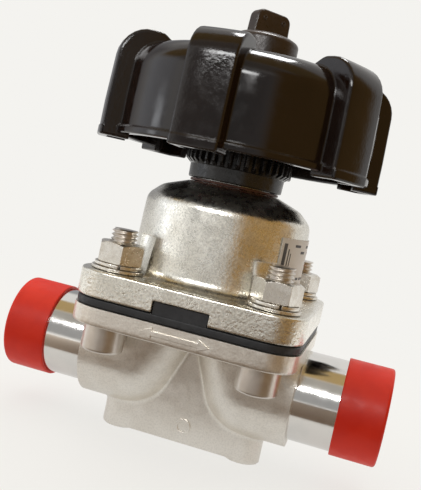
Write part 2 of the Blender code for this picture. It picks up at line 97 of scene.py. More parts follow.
# ---------------------------------------------------------------- outlines
def rounded(points, closed=True):
    """The outline through points of (x, y) or (x, y, radius), with an arc where there is a radius."""
    path = []
    for i, (x, y, *radius) in enumerate(points):
        here = Vector((x, y))
        if not radius or (not closed and i in (0, len(points) - 1)):
            path.append((x, y))
            continue
        before = (Vector(points[i - 1][:2]) - here).normalized()
        after = (Vector(points[(i + 1) % len(points)][:2]) - here).normalized()
        half = before.angle(after) / 2
        centre = here + (before + after).normalized() * radius[0] / math.sin(half)
        arm = here + before * radius[0] / math.tan(half) - centre
        sweep = arm.angle_signed(here + after * radius[0] / math.tan(half) - centre)
        steps = max(2, math.ceil(abs(sweep) / math.radians(14)))
        for k in range(steps + 1):
            a = -sweep * k / steps
            x = centre.x + arm.x * math.cos(a) - arm.y * math.sin(a)
            y = centre.y + arm.x * math.sin(a) + arm.y * math.cos(a)
            path.append((x, y))
    return path


def inset(path, depth):
    """A closed outline moved inwards by this depth."""
    area = sum(a[0] * b[1] - b[0] * a[1] for a, b in zip(path, path[1:] + path[:1]))
    inwards = 1 if area > 0 else -1
    moved = []
    for i, point in enumerate(path):
        here = Vector(point)
        before = (here - Vector(path[i - 1])).normalized()
        after = (Vector(path[(i + 1) % len(path)]) - here).normalized()
        side = Vector((-(before + after).y, (before + after).x)).normalized() * inwards
        square = Vector((-before.y, before.x)).dot(side * inwards)
        moved.append(tuple(here + side * depth / max(abs(square), 0.4)))
    return moved


def square(half, corner):
    return rounded([(half * x, half * y, corner) for x, y in ((1, 1), (-1, 1), (-1, -1), (1, -1))])


def quarter(radius, steps=4):
    """Steps of (inset, run) round a quarter circle, from its flat end to its upright end."""
    turns = [math.pi / 2 * i / steps for i in range(steps + 1)]
    return [(radius * (1 - math.sin(t)), radius * (1 - math.cos(t))) for t in turns]


def regular(radius, count, first=0):
    """The corners of a regular polygon, the first of them at this many degrees."""
    turns = [math.radians(first + 360 / count * i) for i in range(count)]
    return [(radius * math.cos(t), radius * math.sin(t)) for t in turns]


# ---------------------------------------------------------------- solids
def solid(name, bm, at=(0, 0, 0), turn=(0, 0, 0)):
    """The object of a mesh in millimetres, moved into place in metres."""
    bmesh.ops.recalc_face_normals(bm, faces=bm.faces)
    mesh = bpy.data.meshes.new(name)
    bm.to_mesh(mesh)
    bm.free()
    obj = bpy.data.objects.new(name, mesh)
    SCENE.collection.objects.link(obj)
    place = Matrix.Translation(Vector(at))
    for angle, axis in zip(reversed(turn), "ZYX"):
        place = place @ Matrix.Rotation(angle, 4, axis)
    mesh.transform(Matrix.Scale(MM, 4) @ place)
    return obj


def turned(name, profile, steps=96, at=(0, 0, 0), turn=(0, 0, 0)):
    """A half section of (radius, height[, corner radius]) turned round Z.

    It is a ring, with its section closed, unless it starts on the axis.
    """
    ring = profile[0][0] > 0
    bm = bmesh.new()
    verts = [bm.verts.new((r, 0, z)) for r, z in rounded(profile, closed=ring)]
    edges = [bm.edges.new(pair) for pair in zip(verts, verts[1:])]
    if ring:
        edges.append(bm.edges.new((verts[-1], verts[0])))
    geometry = verts + edges
    bmesh.ops.spin(
        bm, geom=geometry, axis=(0, 0, 1), cent=(0, 0, 0), angle=math.tau, steps=steps, use_merge=True
    )
    bmesh.ops.remove_doubles(bm, verts=bm.verts, dist=1e-4)
    return solid(name, bm, at, turn)


def loft(name, loops, at=(0, 0, 0), turn=(0, 0, 0)):
    """A closed solid through loops of 3D points with equal counts, capped at both ends."""
    bm = bmesh.new()
    rows = [[bm.verts.new(p) for p in loop] for loop in loops]
    for a, b in zip(rows, rows[1:]):
        for i in range(len(a)):
            j = (i + 1) % len(a)
            bm.faces.new((a[i], a[j], b[j], b[i]))
    bm.faces.new(rows[0])
    bm.faces.new(rows[-1][::-1])
    return solid(name, bm, at, turn)


def slab(name, outline, low, high, edge=0.0, plane="XY", at=(0, 0, 0), turn=(0, 0, 0)):
    """An outline extruded from low to high, with both its edges rounded."""
    spot = {"XY": lambda u, v, w: (u, v, w), "XZ": lambda u, v, w: (u, w, v)}[plane]
    steps = quarter(edge, 3) if edge else [(0, 0)]
    levels = [(depth, low + run) for depth, run in steps]
    levels += [(depth, high - run) for depth, run in reversed(steps)]
    loops = []
    for depth, w in levels:
        path = inset(outline, depth) if depth else outline
        loops.append([spot(u, v, w) for u, v in path])
    return loft(name, loops, at, turn)


def drum(name, r, low, high, steps=32, at=(0, 0, 0)):
    """A plain upright cylinder, to cut or join."""
    return turned(name, [(0, high), (r, high), (r, low), (0, low)], steps, at=at)


def block(name, x, y, z):
    return slab(name, [(x[0], y[0]), (x[1], y[0]), (x[1], y[1]), (x[0], y[1])], *z)


def settle(obj):
    """Makes what an object's modifiers give its own mesh."""
    graph = bpy.context.evaluated_depsgraph_get()
    mesh = bpy.data.meshes.new_from_object(obj.evaluated_get(graph))
    obj.modifiers.clear()
    obj.data = mesh
    return obj


def combine(obj, operation, *tools):
    """Joins these solids to obj, cuts them from it, or keeps what they share, and removes them."""
    for tool in tools:
        step = obj.modifiers.new(operation, "BOOLEAN")
        step.operation = operation
        step.solver = "MANIFOLD"
        step.object = tool
    settle(obj)
    for tool in tools:
        bpy.data.objects.remove(tool)
    return obj


def cut(obj, *tools):
    return combine(obj, "DIFFERENCE", *tools)


def join(obj, *tools):
    return combine(obj, "UNION", *tools)


def dress(obj, material, body, slot, *nodes, sharp=30):
    """Finishes a piece: its material, its shading, its body and the CAD nodes it stands for.

    Edges sharper than this many degrees stay sharp.
    """
    obj.data.materials.clear()
    obj.data.materials.append(material)
    obj.data.shade_smooth()
    obj.data.set_sharp_from_angle(angle=math.radians(sharp))
    weights = obj.modifiers.new("Normals", "WEIGHTED_NORMAL")
    weights.keep_sharp = True
    if body:
        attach(obj, body)
    if nodes:
        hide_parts(*nodes)
    return obj


# ---------------------------------------------------------------- materials
def node(tree, kind, inputs=None, **settings):
    """A shader node. Each of its inputs takes a value or another node's socket."""
    made = tree.nodes.new(kind)
    for key, value in settings.items():
        setattr(made, key, value)
    for key, value in (inputs or {}).items():
        if isinstance(value, bpy.types.NodeSocket):
            tree.links.new(value, made.inputs[key])
        else:
            made.inputs[key].default_value = value
    return made


def mix(tree, share, low, high):
    """One colour fading into another, each a colour or a socket."""
    inputs = {0: share}
    for slot, tone in ((6, low), (7, high)):
        inputs[slot] = tone if isinstance(tone, bpy.types.NodeSocket) else (*tone, 1.0)
    return node(tree, "ShaderNodeMix", inputs, data_type="RGBA").outputs[2]


def maths(tree, operation, a, b=0.0):
    return node(tree, "ShaderNodeMath", {0: a, 1: b}, operation=operation).outputs[0]


def noise(tree, size, detail):
    """Noise with features of about this size, in millimetres, fixed to the piece."""
    place = node(tree, "ShaderNodeTexCoord").outputs["Object"]
    inputs = {"Vector": place, "Scale": 1 / (size * MM), "Detail": detail}
    return node(tree, "ShaderNodeTexNoise", inputs).outputs[0]


def ramp(tree, value, low, high, to_low=0.0, to_high=1.0):
    """to_low below low, to_high above high, and a smooth step between."""
    inputs = {0: value, 1: low, 2: high, 3: to_low, 4: to_high}
    return node(tree, "ShaderNodeMapRange", inputs, interpolation_type="SMOOTHSTEP").outputs[0]


def split(tree, output):
    """The three parts of this output of the texture coordinates."""
    place = node(tree, "ShaderNodeTexCoord").outputs[output]
    return node(tree, "ShaderNodeSeparateXYZ", {0: place}).outputs


def reach_of(tree):
    """Distance from the stem's axis."""
    x, y = split(tree, "Object")[:2]
    squares = [maths(tree, "MULTIPLY", part, part) for part in (x, y)]
    return maths(tree, "SQRT", maths(tree, "ADD", *squares))


def surface(
    name,
    colour,
    roughness,
    metallic,
    second,
    patch,
    vary,
    bumps,
    round_edges=0.0,
    grain=None,
    shine=0.5,
):
    """A Principled material with patches of a second colour, uneven roughness and layers of bump.

    patch is the size of the patches, and vary how far the roughness goes up and down. bumps are
    (feature size, depth, detail[, mask]), where mask makes the socket that scales the layer.
    round_edges is the radius that edges and inside corners are shaded with. grain is the size of
    its dark pits and how much darker they are. Sizes are in millimetres.
    """
    material = bpy.data.materials.new(name)
    material.use_nodes = True
    tree = material.node_tree
    shader = tree.nodes["Principled BSDF"]
    shader.inputs["Metallic"].default_value = metallic
    shader.inputs["Specular IOR Level"].default_value = shine
    tone = mix(tree, ramp(tree, noise(tree, patch, 3.0), 0.35, 0.65), colour, second)
    if grain:
        size, darker = grain
        pits = ramp(tree, noise(tree, size, 2.0), 0.3, 0.62, 1 - darker, 1.0)
        scaled = node(tree, "ShaderNodeVectorMath", {0: tone, "Scale": pits}, operation="SCALE")
        tone = scaled.outputs[0]
    tree.links.new(tone, shader.inputs["Base Color"])
    fine = noise(tree, patch * 0.35, 4.0)
    uneven = ramp(tree, fine, 0.3, 0.7, roughness - vary, roughness + vary)
    tree.links.new(uneven, shader.inputs["Roughness"])
    normal = None
    if round_edges:
        normal = node(tree, "ShaderNodeBevel", {"Radius": round_edges * MM}, samples=6).outputs[0]
    for size, depth, detail, *mask in bumps:
        height = noise(tree, size, detail)
        layer = node(tree, "ShaderNodeBump", {"Height": height, "Distance": depth * MM})
        if mask:
            tree.links.new(mask[0](tree), layer.inputs["Strength"])
        if normal:
            tree.links.new(normal, layer.inputs["Normal"])
        normal = layer.outputs[0]
    if normal:
        tree.links.new(normal, shader.inputs["Normal"])
    return material


def on_lobes(tree):
    """1 on the wheel's lobes and almost 0 in its valleys."""
    return ramp(tree, reach_of(tree), (RIM_R - 4.6) * MM, (RIM_R - 3.6) * MM, 0.06, 1.0)


def on_flange(tree):
    """1 on the bonnet's flange and 0 on its dome."""
    low, high = (BONNET_FLANGE_TOP - 0.9) * MM, (BONNET_FLANGE_TOP - 0.2) * MM
    return ramp(tree, split(tree, "Object")[2], low, high, 1.0, 0.0)


CAST = surface(
    "CastSteel",
    (0.83, 0.79, 0.725),
    0.385,
    0.92,
    (0.88, 0.845, 0.785),
    9,
    0.05,
    [(0.9, 0.055, 3), (2.2, 0.04, 2)],
    grain=(0.55, 0.1),
)
POLISHED = surface(
    "PolishedTube",
    (0.82, 0.8, 0.77),
    0.12,
    1.0,
    (0.78, 0.765, 0.74),
    8,
    0.03,
    [(1.4, 0.002, 2)],
)
BRIGHT = surface(
    "BrightCasting",
    (0.90, 0.875, 0.80),
    0.28,
    1.0,
    (0.80, 0.77, 0.69),
    7,
    0.05,
    [(0.95, 0.07, 3), (0.9, 0.12, 3, on_flange)],
    0.5,
    (0.5, 0.24),
)
BOLT = surface(
    "StainlessBolt",
    (0.84, 0.81, 0.75),
    0.31,
    1.0,
    (0.72, 0.68, 0.61),
    3,
    0.06,
    [(0.8, 0.009, 3)],
    0.2,
    (0.5, 0.1),
)
SCREW = surface(
    "ScrewSteel",
    (0.74, 0.70, 0.65),
    0.34,
    1.0,
    (0.69, 0.65, 0.60),
    3,
    0.03,
    [(0.6, 0.004, 2)],
    0.2,
)
RUBBER = surface(
    "MembraneRubber",
    (0.018, 0.021, 0.027),
    0.5,
    0.0,
    (0.03, 0.033, 0.04),
    3,
    0.1,
    [(0.6, 0.04, 3)],
)
BLACK = surface(
    "CollarPlastic",
    (0.009, 0.008, 0.008),
    0.26,
    0.0,
    (0.018, 0.015, 0.014),
    4,
    0.08,
    [(0.9, 0.02, 2)],
)
KNOB = surface(
    "KnobPlastic",
    (0.03, 0.016, 0.009),
    0.34,
    0.0,
    (0.04, 0.023, 0.014),
    4,
    0.08,
    [(0.8, 0.05, 3)],
    0.4,
)
WHEEL = surface(
    "WheelPlastic",
    (0.0085, 0.0030, 0.0012),
    0.12,
    0.0,
    (0.011, 0.0045, 0.002),
    9,
    0.05,
    [(1.0, 0.032, 3, on_lobes), (7, 0.04, 1)],
    0.9,
)
RED = surface(
    "RedCap",
    (0.80, 0.028, 0.006),
    0.42,
    0.0,
    (0.74, 0.022, 0.005),
    8,
    0.06,
    [(0.9, 0.01, 3), (7, 0.05, 1)],
    0.5,
    shine=0.3,
)
RUST = surface("RedBrownRing", (0.09, 0.025, 0.015), 0.45, 0.0, (0.12, 0.04, 0.02), 3, 0.08, [(0.5, 0.02, 2)])
BRASS = surface("BrassBush", (0.75, 0.55, 0.25), 0.28, 1.0, (0.65, 0.46, 0.2), 4, 0.08, [(0.4, 0.01, 2)])
STEEL = surface("TurnedSteel", (0.62, 0.61, 0.6), 0.28, 1.0, (0.55, 0.54, 0.53), 4, 0.08, [(0.4, 0.01, 2)])
SEAL = surface("SealRubber", (0.015, 0.015, 0.016), 0.5, 0.0, (0.03, 0.03, 0.03), 3, 0.1, [(0.4, 0.02, 2)])
PAPER = surface("LabelFilm", (0.8, 0.79, 0.75), 0.38, 0.0, (0.76, 0.75, 0.71), 8, 0.05, [(3, 0.02, 2)])
INK = surface("LabelInk", (0.05, 0.048, 0.046), 0.5, 0.0, (0.09, 0.088, 0.085), 2, 0.05, [(0.5, 0.005, 2)])


# ---------------------------------------------------------------- body casting, spigots and caps
BULGE_R, BULGE_X, LEAN = 17.0, 21.0, math.radians(21.8)
CAST_END = 34.8
SOCKET_END = 29.6  # how near to the stem the tubes' sockets reach
FOOT_X, FOOT_R, WEB_LOW = 21.5, 6.0, 0.7
BOWL_R, BOWL_Z = 42.1, 78.6  # the sphere that the diaphragm seals on
BOWL_LOW, BOWL_TOP = 36.5, 61
HOLE_R = 4.5
HEAD_ROOM_R = 7.4
CAST_VOXEL = 0.5


def elbow(name, side, r, end_x, top):
    """Convex outside of one passage: level from end_x, round the turn, then leaning up to top."""
    ring = [(r * math.cos(t), r * math.sin(t)) for t in (math.tau * i / 56 for i in range(56))]
    lean = Matrix.Rotation(-side * LEAN, 3, "Y")
    centre = Vector((side * BULGE_X, 0, PIPE_Z))
    head = Vector((centre.x - side * (top - PIPE_Z) * math.tan(LEAN), 0, top))
    points = [Vector((side * end_x, u, PIPE_Z + v)) for u, v in ring]
    points += [lean @ Vector((u, v, r * math.sin(LEAN))) + head for u, v in ring]
    for tilt in range(-84, 60, 8):
        height, share = r * math.sin(math.radians(tilt)), math.cos(math.radians(tilt))
        points += [centre + lean @ Vector((u * share, v * share, height)) for u, v in ring]
    bm = bmesh.new()
    for p in points:
        bm.verts.new((p.x, p.y, min(p.z, top)))
    bmesh.ops.convex_hull(bm, input=bm.verts)
    bmesh.ops.delete(bm, geom=[v for v in bm.verts if not v.link_faces], context="VERTS")
    return solid(name, bm)


def cast_body():
    """The outside of the casting, with every edge and inside corner softened."""
    outline = square(FLANGE, FLANGE_CORNER)
    raw = slab("valve_casting", outline, BODY_FLANGE_LOW, BODY_TOP + 1.5)
    web_z = (WEB_LOW, BODY_FLANGE_LOW + 1)
    shapes = [block("web", (-FOOT_X, FOOT_X), (-FOOT_R, FOOT_R), web_z)]
    for word, side in SIDES.items():
        shapes.append(drum(f"foot_{word}", FOOT_R, 0, 18, 48, at=(side * FOOT_X, 0, 0)))
        shapes.append(elbow(f"bulge_{word}", side, BULGE_R, CAST_END + 1.5, BODY_TOP - 0.6))
    join(raw, *shapes)
    remesh = raw.modifiers.new("Cast", "REMESH")
    remesh.mode = "VOXEL"
    remesh.voxel_size = CAST_VOXEL * MM
    soften = raw.modifiers.new("Soften", "SMOOTH")
    soften.factor = 0.5
    soften.iterations = 7
    return settle(raw)


def body_cuts():
    """The machined faces, the passages and the holes."""
    turns = [math.radians(-25 - 5 * i) for i in range(13)]
    bowl = [(0, 70), (BOWL_R, 70), (BOWL_R, BOWL_TOP)]
    bowl += [(BOWL_R * math.cos(a), BOWL_Z + BOWL_R * math.sin(a)) for a in turns]
    tools = [
        block("top_face", (-50, 50), (-50, 50), (BODY_TOP, BODY_TOP + 10)),
        turned("bowl", [*bowl, (0, BOWL_LOW)], 64),
    ]
    for word, side in SIDES.items():
        ends = sorted((side * CAST_END, side * 50))
        tools.append(block(f"end_face_{word}", ends, (-30, 30), (-1, BODY_FLANGE_LOW)))
        sides = sorted((side * FLANGE, side * 50))
        tools.append(block(f"flange_side_{word}", sides, (-50, 50), (BODY_FLANGE_LOW - 0.5, 60)))
        inside = TUBE_R - TUBE_WALL
        tools.append(elbow(f"passage_{word}", side, inside, CAST_END + 4, BODY_TOP + 1))
        r = TUBE_R + 0.04
        socket = [(0, 40), (r, 40), (r, SOCKET_END), (0, SOCKET_END)]
        along = (0, side * math.pi / 2, 0)
        tools.append(turned(f"socket_{word}", socket, 96, at=(0, 0, PIPE_Z), turn=along))
        blind = [(0, 9), (2.5, 9), (2.5, -0.2), (3.1, -0.8), (0, -0.8)]
        tools.append(turned(f"foot_thread_{word}", blind, 32, at=(side * FOOT_X, 0, 0)))
    for word in CORNERS:
        spot = spot_of(word)
        tools.append(drum(f"hole_{word}", HOLE_R, 30, 50, at=spot))
        top = BODY_FLANGE_LOW + 0.15
        room = [(0, top), (HEAD_ROOM_R, top, 0.4), (HEAD_ROOM_R, 18), (0, 18)]
        tools.append(turned(f"head_room_{word}", room, 48, at=spot))
    return tools


def make_body():
    body = cut(cast_body(), *body_cuts())
    half = [(-10.5, 0), (-7, 1.7), (-7, 0.7), (7, 0.7), (7, 1.7), (10.5, 0)]
    arrow = half + [(x, -y) for x, y in reversed(half[1:-1])]
    mark_z = (BODY_FLANGE_LOW + BODY_TOP) / 2
    front = -FLANGE - 0.5
    ring = [(2.6, 0.4, 0.15), (2.6, -2), (1.7, -2), (1.7, 0.4, 0.15)]
    join(
        body,
        slab("flow_arrow", arrow, front, front + 2, 0.12, "XZ", at=(0, 0, mark_z)),
        turned("web_mark", ring, 40, at=(1.5, -FOOT_R, 6.5), turn=(math.pi / 2, 0, 0)),
    )
    dress(body, CAST, "valve", "cast_steel", "valve_body", sharp=38)


TUBE_START, TUBE_END = 29.8, 60
CAP_START, CAP_END = 48.5, 62.9
CAP_R = 15.5


def make_tubes():
    for word, side in SIDES.items():
        along = (0, side * math.pi / 2, 0)
        inside = TUBE_R - TUBE_WALL
        tube = [(TUBE_R, TUBE_END, 0.15), (TUBE_R, TUBE_START)]
        tube += [(inside, TUBE_START), (inside, TUBE_END, 0.15)]
        made = turned(f"tube_{word}", tube, 128, at=(0, 0, PIPE_Z), turn=along)
        dress(made, POLISHED, "valve", "polished_tube", f"spigot_{word}")
        face = [(0, CAP_END - 0.3), (1.6, CAP_END - 0.3), (2.0, CAP_END, 0.2)]
        groove = [(13.0, CAP_END, 0.3), (13.3, CAP_END - 0.25, 0.2), (13.7, CAP_END, 0.2)]
        wall = [(CAP_R, CAP_END, 0.9), (CAP_R, CAP_START, 0.3), (TUBE_R + 0.04, CAP_START, 0.2)]
        inner = [(TUBE_R + 0.04, CAP_END - 0.8), (0, CAP_END - 0.8)]
        cap = face + groove + wall + inner
        made = turned(f"end_cap_{word}", cap, 96, at=(0, 0, PIPE_Z), turn=along)
        dress(made, RED, f"cap_{word}", "red_plastic", f"cap_{word}")


# ---------------------------------------------------------------- diaphragm
MEMBRANE_R = 22.2  # the part inside this moves
PRESSED_R = 7  # the part inside this goes all the way with the compressor
MEMBRANE_LOW, MEMBRANE_TOP = 43.5, 44.7


def make_rim():
    """The sheet clamped between the flanges, with its two tabs."""
    low, high = span("diaphragm")[0].z, 45.3
    sheet = slab("diaphragm_sheet", square(FLANGE - 0.4, FLANGE_CORNER - 0.4), low, high, 0.5)
    tab_z = (low + 1, 48.8)
    tabs = [block(f"tab_{y}", (-8.2, 8.2), sorted((y * 32.0, y * 34.5)), tab_z) for y in (-1, 1)]
    join(sheet, *tabs)
    room = drum("membrane_room", MEMBRANE_R + 0.04, 30, 60, 96)
    cut(sheet, room, *[drum(f"hole_{word}", HOLE_R, 30, 60, at=spot_of(word)) for word in CORNERS])
    dress(sheet, RUBBER, "valve", "membrane_rubber", "diaphragm")


def make_middle():
    """The membrane's middle as a plain turned disc. In the valve it is clamped at its edge and pushed down by
    the compressor, so it stretches.
    """
    profile = [(0, MEMBRANE_TOP), (3.3, MEMBRANE_TOP)]
    profile += [(MEMBRANE_R * i / 16, MEMBRANE_TOP) for i in range(3, 17)]
    profile += [(MEMBRANE_R * i / 16, MEMBRANE_LOW) for i in range(16, 0, -1)]
    middle = turned("diaphragm_middle", [*profile, (0, MEMBRANE_LOW)], 96)
    dress(middle, RUBBER, None, "membrane_rubber")
    edge, pressed = MEMBRANE_R * MM, PRESSED_R * MM
    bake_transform(middle)
    # Each point's share of the compressor's travel, by its distance from the stem; the share is worked out
    # but not applied.
    for vertex in middle.data.vertices:
        t = (edge - vertex.co.xy.length) / (edge - pressed)
        t = min(1.0, max(0.0, t))


# ---------------------------------------------------------------- bonnet
DOME_FOOT_R = 33.0
NECK_TOP = 93.4


def make_bonnet():
    top = BONNET_FLANGE_TOP
    bonnet = slab("bonnet_casting", square(FLANGE, FLANGE_CORNER), BONNET_LOW, top, 0.7)
    neck = [(0, NECK_TOP), (12.0, NECK_TOP, 0.5), (12.0, 85.5), (14.8, 85.5, 0.6)]
    shoulder = [(22.8, 82.6, 6.0), (27.0, 78.6, 4.5), (27.25, 72.0)]
    foot = [(27.6, top + 0.05, 3.6), (DOME_FOOT_R, top + 0.05), (DOME_FOOT_R, 50), (0, 50)]
    join(bonnet, turned("dome", neck + shoulder + foot, 128))
    hollow = [(0, 82.4), (12.5, 82.4), (19.0, 79.6), (23.0, 75.0), (23.0, 44.0), (0, 44.0)]
    tools = [turned("hollow", hollow, 64), drum("neck_bore", 9.4, 80, 96, 64)]
    for y in (-1, 1):
        depth = sorted((y * 31.7, y * 36.5))
        tools.append(block(f"tab_slot_{y}", (-8.6, 8.6), depth, (44, 49.2)))
        tools.append(drum(f"guide_seat_{y}", 1.65, 70, 84.3, 24, at=(0, y * 13.0, 0)))
    for word in CORNERS:
        spot = spot_of(word)
        tools.append(drum(f"hole_{word}", HOLE_R, 40, 60, at=spot))
        face = [(0, 66), (9.4, 66), (8.4, top - 0.08, 0.8), (0, top - 0.08)]
        tools.append(turned(f"spot_face_{word}", face, 64, at=spot))
    cut(bonnet, *tools)
    dress(bonnet, BRIGHT, "valve", "bright_bonnet", "bonnet", sharp=35)


# ---------------------------------------------------------------- bolts
SHANK_R, PITCH, HEAD_R, HEAD_HIGH = 3.9, 1.25, 6.5, 8.0
KEY_R = 3.46  # across the corners of the hexagon socket, halved
NUT_HALF = 6.5  # half of the nut's width over its flats
NUT_CORNER = 7.8
NUT_TURN = 8
WASHER_R = {"flat_washer": 8.0, "lock_washer": 7.3}
WASHER_BORE = 4.25


def thread(name, major, pitch, low, high, at):
    """A bar with a right-hand thread cut in it and a tapered start at the top."""
    columns, per_turn = 48, 12
    depth = 0.61 * pitch
    count = int((high - low) / pitch * per_turn)
    loops = []
    for row in range(count + 1):
        z = low + (high - low) * row / count
        loop = []
        for c in range(columns):
            t = math.tau * c / columns
            phase = (z / pitch - c / columns) % 1
            ridge = min(1.0, max(0.0, abs(phase - 0.5) * 2.6 - 0.15))
            r = min(major - depth * (1 - ridge), major - 0.25 + (high - z) * 0.9)
            loop.append((r * math.cos(t), r * math.sin(t), z))
        loops.append(loop)
    return loft(name, loops, at)


def make_screw(word, shank_top):
    """A cap screw with its head underneath and its thread standing out of the nut."""
    low, high = span(f"cap_screw_{word}")
    spot = spot_of(word)
    under = low.z + HEAD_HIGH
    shank = [(0, shank_top), (SHANK_R - 0.5, shank_top), (SHANK_R, shank_top - 0.5)]
    head = [(SHANK_R, under), (HEAD_R, under, 0.3), (HEAD_R, low.z, 0.9), (0, low.z)]
    screw = turned(f"screw_{word}", shank + head, 64, at=spot)
    cut(screw, slab(f"key_{word}", regular(KEY_R, 6, 30), low.z - 1, low.z + 4, at=spot))
    join(screw, thread(f"thread_{word}", 4.0, PITCH, shank_top - 0.6, high.z, spot))
    dress(screw, SCREW, "valve", "stainless_bolt", f"cap_screw_{word}", sharp=32)


def make_nut(word):
    low, high = (corner.z for corner in span(f"nut_{word}"))
    spot = spot_of(word)
    turn = math.radians(NUT_TURN if word.endswith("r") else -NUT_TURN)
    hexagon = regular(NUT_HALF / math.cos(math.pi / 6), 6)
    nut = slab(f"hex_nut_{word}", hexagon, low, high, at=spot, turn=(0, 0, turn))
    upper = [(0, high), (NUT_HALF - 0.2, high), (NUT_CORNER, high - 0.95)]
    lower = [(NUT_CORNER, low + 0.45), (7.0, low), (0, low)]
    combine(nut, "INTERSECT", turned(f"nut_drum_{word}", upper + lower, 96, at=spot))
    edge = nut.modifiers.new("Edge", "BEVEL")
    edge.width = 0.16 * MM
    edge.segments = 2
    edge.limit_method = "ANGLE"
    edge.angle_limit = math.radians(40)
    settle(nut)
    bore = [(0, high + 1), (5.1, high + 1), (4.06, high - 0.5), (4.06, low - 1), (0, low - 1)]
    cut(nut, turned(f"nut_bore_{word}", bore, 48, at=spot))
    dress(nut, BOLT, "valve", "stainless_bolt", f"nut_{word}", sharp=25)


def make_washer(kind, word):
    low, high = (corner.z for corner in span(f"{kind}_{word}"))
    spot, r = spot_of(word), WASHER_R[kind]
    section = [(r, high, 0.22), (r, low, 0.22), (WASHER_BORE, low, 0.15), (WASHER_BORE, high, 0.15)]
    ring = turned(f"{kind}_ring_{word}", section, 72, at=spot)
    if kind == "lock_washer":
        slit = [(2, -0.9), (10, 0.1), (10, 0.9), (2, -0.1)]
        turn = (0, 0, math.radians(-70))
        cut(ring, slab(f"split_{word}", slit, low - 1, high + 1, at=spot, turn=turn))
    dress(ring, BOLT, "valve", "stainless_bolt", f"{kind}_{word}")


def make_bolts():
    for word in CORNERS:
        make_screw(word, span(f"nut_{word}")[1].z - 1.5)
        make_nut(word)
        for kind in WASHER_R:
            make_washer(kind, word)


# ---------------------------------------------------------------- neck
TEETH = 40
TOOTH_R, ROOT_R, SKIRT_R = 17.4, 15.9, 15.4
TOOTH_DEEP = 5.2
COLLAR_BORE_R = 12.3
PAWL_TURN = math.radians(205)


def make_neck():
    low, high = (corner.z for corner in span("neck_ring"))
    band = [(14.6, high, 0.3), (14.6, low, 0.3), (COLLAR_BORE_R, low), (COLLAR_BORE_R, high)]
    dress(turned("neck_ring_band", band, 96), RUST, "valve", "red_brown_ring", "neck_ring")
    low, high = (corner.z for corner in span("neck_collar"))
    teeth_z = high - TOOTH_DEEP
    # Half a tooth, as shares of the spacing and radii, from its middle to its root.
    flank = [(0.12, TOOTH_R), (0.17, TOOTH_R - 0.12), (0.25, ROOT_R + 0.35), (0.31, ROOT_R)]
    tooth = [(-part, r) for part, r in reversed(flank)] + flank
    star = []
    for i in range(TEETH):
        for part, r in tooth:
            a = (i + 0.5 + part) * math.tau / TEETH + PAWL_TURN - math.pi / 2
            star.append((r * math.cos(a), r * math.sin(a)))
    teeth = slab("toothed_collar", star, teeth_z, high)
    wide = TOOTH_R + 0.3
    trim = [(0, high), (TOOTH_R - 0.5, high), (wide, high - 0.6), (wide, teeth_z + 1.9)]
    trim += [(SKIRT_R + 0.1, teeth_z), (0, teeth_z)]
    combine(teeth, "INTERSECT", turned("tooth_trim", trim, 160))
    skirt = [(0, high - 0.4), (SKIRT_R + 0.2, high - 0.4), (SKIRT_R + 0.2, teeth_z + 1)]
    skirt += [(SKIRT_R, low, 0.5), (0, low)]
    join(teeth, turned("skirt", skirt, 160))
    cut(
        teeth,
        drum("collar_bore", COLLAR_BORE_R, low - 1, 93.7, 64),
        drum("collar_hole", 7.4, 92, high + 1, 64),
        drum("bush_room", 9.5, 93, 94.7, 64),
    )
    dress(teeth, BLACK, "valve", "black_plastic", "neck_collar")


# ---------------------------------------------------------------- handwheel
VALLEY_R = RIM_R - 5.7
VALLEY_TOP = WHEEL_HIGH - 3.6
LIP_Z = WHEEL_LOW + 1.5
LOBE_TOP = VALLEY_TOP + 2.8
LOBE_HALF = 7.3
LOBE_EDGE = 0.8
CEILING = VALLEY_TOP - 3.2
CROWN = 9.0
POST_X, POST_Y = 18.0, 5.4  # the posts that hold the pawl's guide, seen along the pawl


def lobe_loops():
    """Sections through one lobe from side to side, with its outer face on the rim's circle."""
    inner = [(28.0, 110.0), (28.0, VALLEY_TOP - 0.8), (33.5, LOBE_TOP, 4.0)]
    outer = [(RIM_R - 1.2, LOBE_TOP, CROWN), (RIM_R - 0.35, 104.0)]
    lip = [(RIM_R - 0.3, WHEEL_LOW + 3.1, 0.15), (RIM_R, WHEEL_LOW + 2.8, 0.2)]
    base = [(RIM_R, WHEEL_LOW, 0.5), (37.0, WHEEL_LOW), (37.0, 110.0)]
    side = rounded(inner + outer + lip + base)
    levels = [(depth, run - LOBE_HALF) for depth, run in quarter(LOBE_EDGE, 4)]
    levels += [(0, u) for u in (-4.5, -2.5, 0, 2.5, 4.5)]
    levels += [(depth, -u) for depth, u in reversed(levels[:5])]
    loops = []
    for depth, u in levels:
        drop = RIM_R - math.sqrt(RIM_R**2 - u**2)
        loops.append([(r - drop, u, z) for r, z in inset(side, depth)])
    return loops


